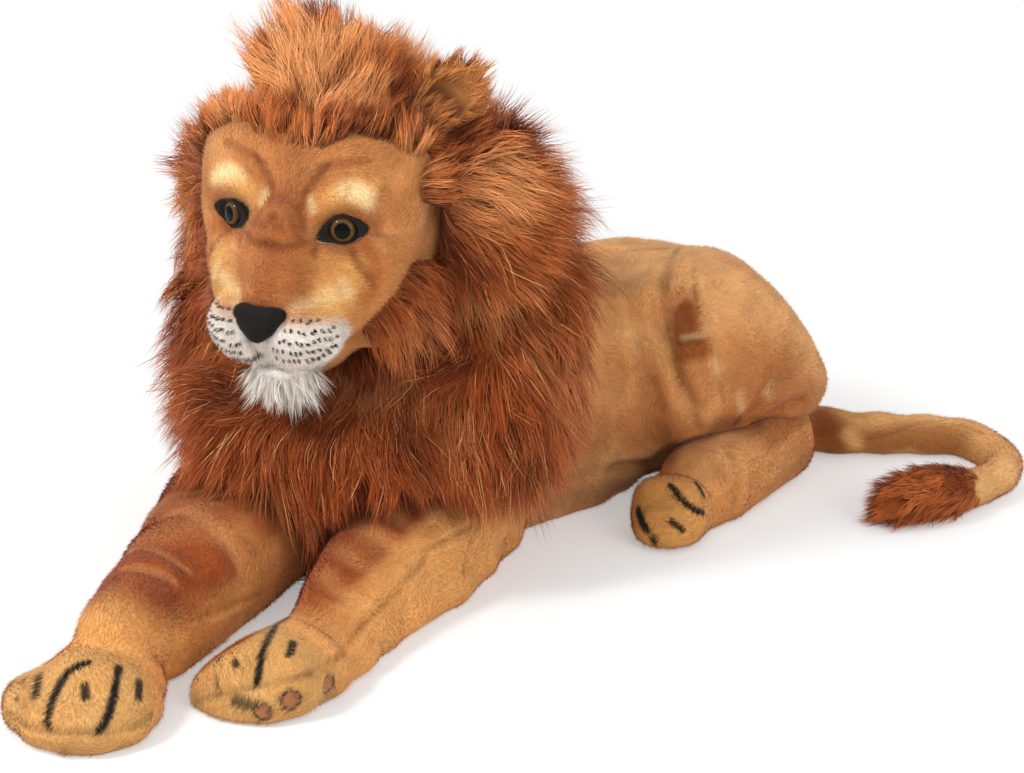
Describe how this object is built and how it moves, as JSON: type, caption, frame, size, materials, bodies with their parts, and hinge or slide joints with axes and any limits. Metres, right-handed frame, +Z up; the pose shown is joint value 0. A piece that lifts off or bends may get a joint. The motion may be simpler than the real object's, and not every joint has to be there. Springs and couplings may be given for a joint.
{
  "type": "plush lion",
  "caption": "Large plush lion lying on its belly with its head up, a long-haired mane, outstretched forelegs and a tufted tail curled on the floor.",
  "frame": {"origin": "On the flat underside of the belly, below the shoulders, in the middle plane of the head.", "axes": "+Z up, +Y from the head to the hindquarters, +X to the lion's left."},
  "size_m": [0.8397, 1.1567, 0.614],
  "materials": {
    "golden_plush": "short golden-tan pile",
    "paw_plush": "short golden pile with airbrushed black toe marks",
    "mane_fur": "long rust-brown pile",
    "white_plush": "short white pile with grey whisker dots",
    "beard_fur": "long white pile",
    "nose_plush": "short black pile",
    "ear_lining": "short rust-brown pile",
    "eyelid_felt": "black felt",
    "sole_suede": "brown suede cloth",
    "stuffing": "white polyester fibre",
    "eye_dome": "clear glossy plastic",
    "eye_iris": "olive-brown paint round a black pupil",
    "eye_fixing": "black plastic"
  },
  "bodies": {
    "torso": {"torso_cover": "golden_plush", "torso_stuffing": "stuffing", "thigh_left": "golden_plush", "thigh_right": "golden_plush", "mane_cape_left": "mane_fur", "mane_cape_right": "mane_fur", "mane_bib": "mane_fur"},
    "neck": {"neck": "golden_plush"},
    "head": {"head_cover": "golden_plush", "head_stuffing": "stuffing", "muzzle_pad_left": "white_plush", "muzzle_pad_right": "white_plush", "nose": "nose_plush", "chin": "white_plush", "chin_beard": "beard_fur", "mane_crown": "mane_fur", "mane_cheek_left": "mane_fur", "mane_cheek_right": "mane_fur", "eye_dome_left": "eye_dome", "eye_iris_left": "eye_iris", "eyelid_left": "eyelid_felt", "eye_shank_left": "eye_fixing", "eye_washer_left": "eye_fixing", "eye_dome_right": "eye_dome", "eye_iris_right": "eye_iris", "eyelid_right": "eyelid_felt", "eye_shank_right": "eye_fixing", "eye_washer_right": "eye_fixing"},
    "ear_left": {"ear_left": "mane_fur", "ear_lining_left": "ear_lining"},
    "foreleg_left": {"foreleg_left": "golden_plush", "foreleg_stuffing_left": "stuffing", "forepaw_left": "paw_plush", "forepaw_sole_left": "sole_suede"},
    "hind_leg_left": {"hind_leg_left": "golden_plush", "hind_leg_stuffing_left": "stuffing", "hind_paw_left": "paw_plush", "hind_paw_sole_left": "sole_suede"},
    "ear_right": {"ear_right": "mane_fur", "ear_lining_right": "ear_lining"},
    "foreleg_right": {"foreleg_right": "golden_plush", "foreleg_stuffing_right": "stuffing", "forepaw_right": "paw_plush", "forepaw_sole_right": "sole_suede"},
    "hind_leg_right": {"hind_leg_right": "golden_plush", "hind_leg_stuffing_right": "stuffing", "hind_paw_right": "paw_plush", "hind_paw_sole_right": "sole_suede"},
    "tail_base": {"tail_base": "golden_plush"},
    "tail_middle": {"tail_middle": "golden_plush"},
    "tail_end": {"tail_end": "golden_plush", "tail_tuft": "mane_fur"}
  },
  "joints": [
    {"name": "neck_turn", "type": "hinge", "parent": "torso", "child": "neck", "pos_m": [0, -0.07, 0.275], "axis": [0, -0.5693, 0.8221], "range_deg": [-14, 14], "stiffness_Nm_per_rad": 20},
    {"name": "head_nod", "type": "hinge", "parent": "neck", "child": "head", "pos_m": [0, -0.07, 0.275], "axis": [1, 0, 0], "range_deg": [-6, 6], "stiffness_Nm_per_rad": 60},
    {"name": "ear_left_fold", "type": "hinge", "parent": "head", "child": "ear_left", "pos_m": [0.073, -0.129, 0.496], "axis": [-0.6778, -0.3018, 0.6705], "range_deg": [-15, 15], "stiffness_Nm_per_rad": 0.1},
    {"name": "ear_right_fold", "type": "hinge", "parent": "head", "child": "ear_right", "pos_m": [-0.073, -0.129, 0.496], "axis": [-0.6778, 0.3018, -0.6705], "range_deg": [-15, 15], "stiffness_Nm_per_rad": 0.1},
    {"name": "foreleg_left_lift", "type": "hinge", "parent": "torso", "child": "foreleg_left", "pos_m": [0.094, 0, 0.06], "axis": [-1, 0, 0], "range_deg": [0, 10], "stiffness_Nm_per_rad": 2},
    {"name": "foreleg_right_lift", "type": "hinge", "parent": "torso", "child": "foreleg_right", "pos_m": [-0.094, -0.112, 0.06], "axis": [-1, 0, 0], "range_deg": [0, 10], "stiffness_Nm_per_rad": 2},
    {"name": "hind_leg_left_swing", "type": "hinge", "parent": "torso", "child": "hind_leg_left", "pos_m": [0.29813, 0.34444, 0], "axis": [0, 0, 1], "range_deg": [0, 12], "stiffness_Nm_per_rad": 2},
    {"name": "hind_leg_right_swing", "type": "hinge", "parent": "torso", "child": "hind_leg_right", "pos_m": [0.06077, 0.44034, 0], "axis": [0, 0, -1], "range_deg": [0, 12], "stiffness_Nm_per_rad": 2},
    {"name": "tail_base_swing", "type": "hinge", "parent": "torso", "child": "tail_base", "pos_m": [0.238, 0.43, 0], "axis": [0, 0, 1], "range_deg": [-2, 12], "stiffness_Nm_per_rad": 1},
    {"name": "tail_middle_swing", "type": "hinge", "parent": "tail_base", "child": "tail_middle", "pos_m": [0.437, 0.441, 0], "axis": [0, 0, 1], "range_deg": [-10, 15], "stiffness_Nm_per_rad": 0.6},
    {"name": "tail_end_swing", "type": "hinge", "parent": "tail_middle", "child": "tail_end", "pos_m": [0.572, 0.404, 0], "axis": [0, 0, 1], "range_deg": [-10, 15], "stiffness_Nm_per_rad": 0.4}
  ]
}
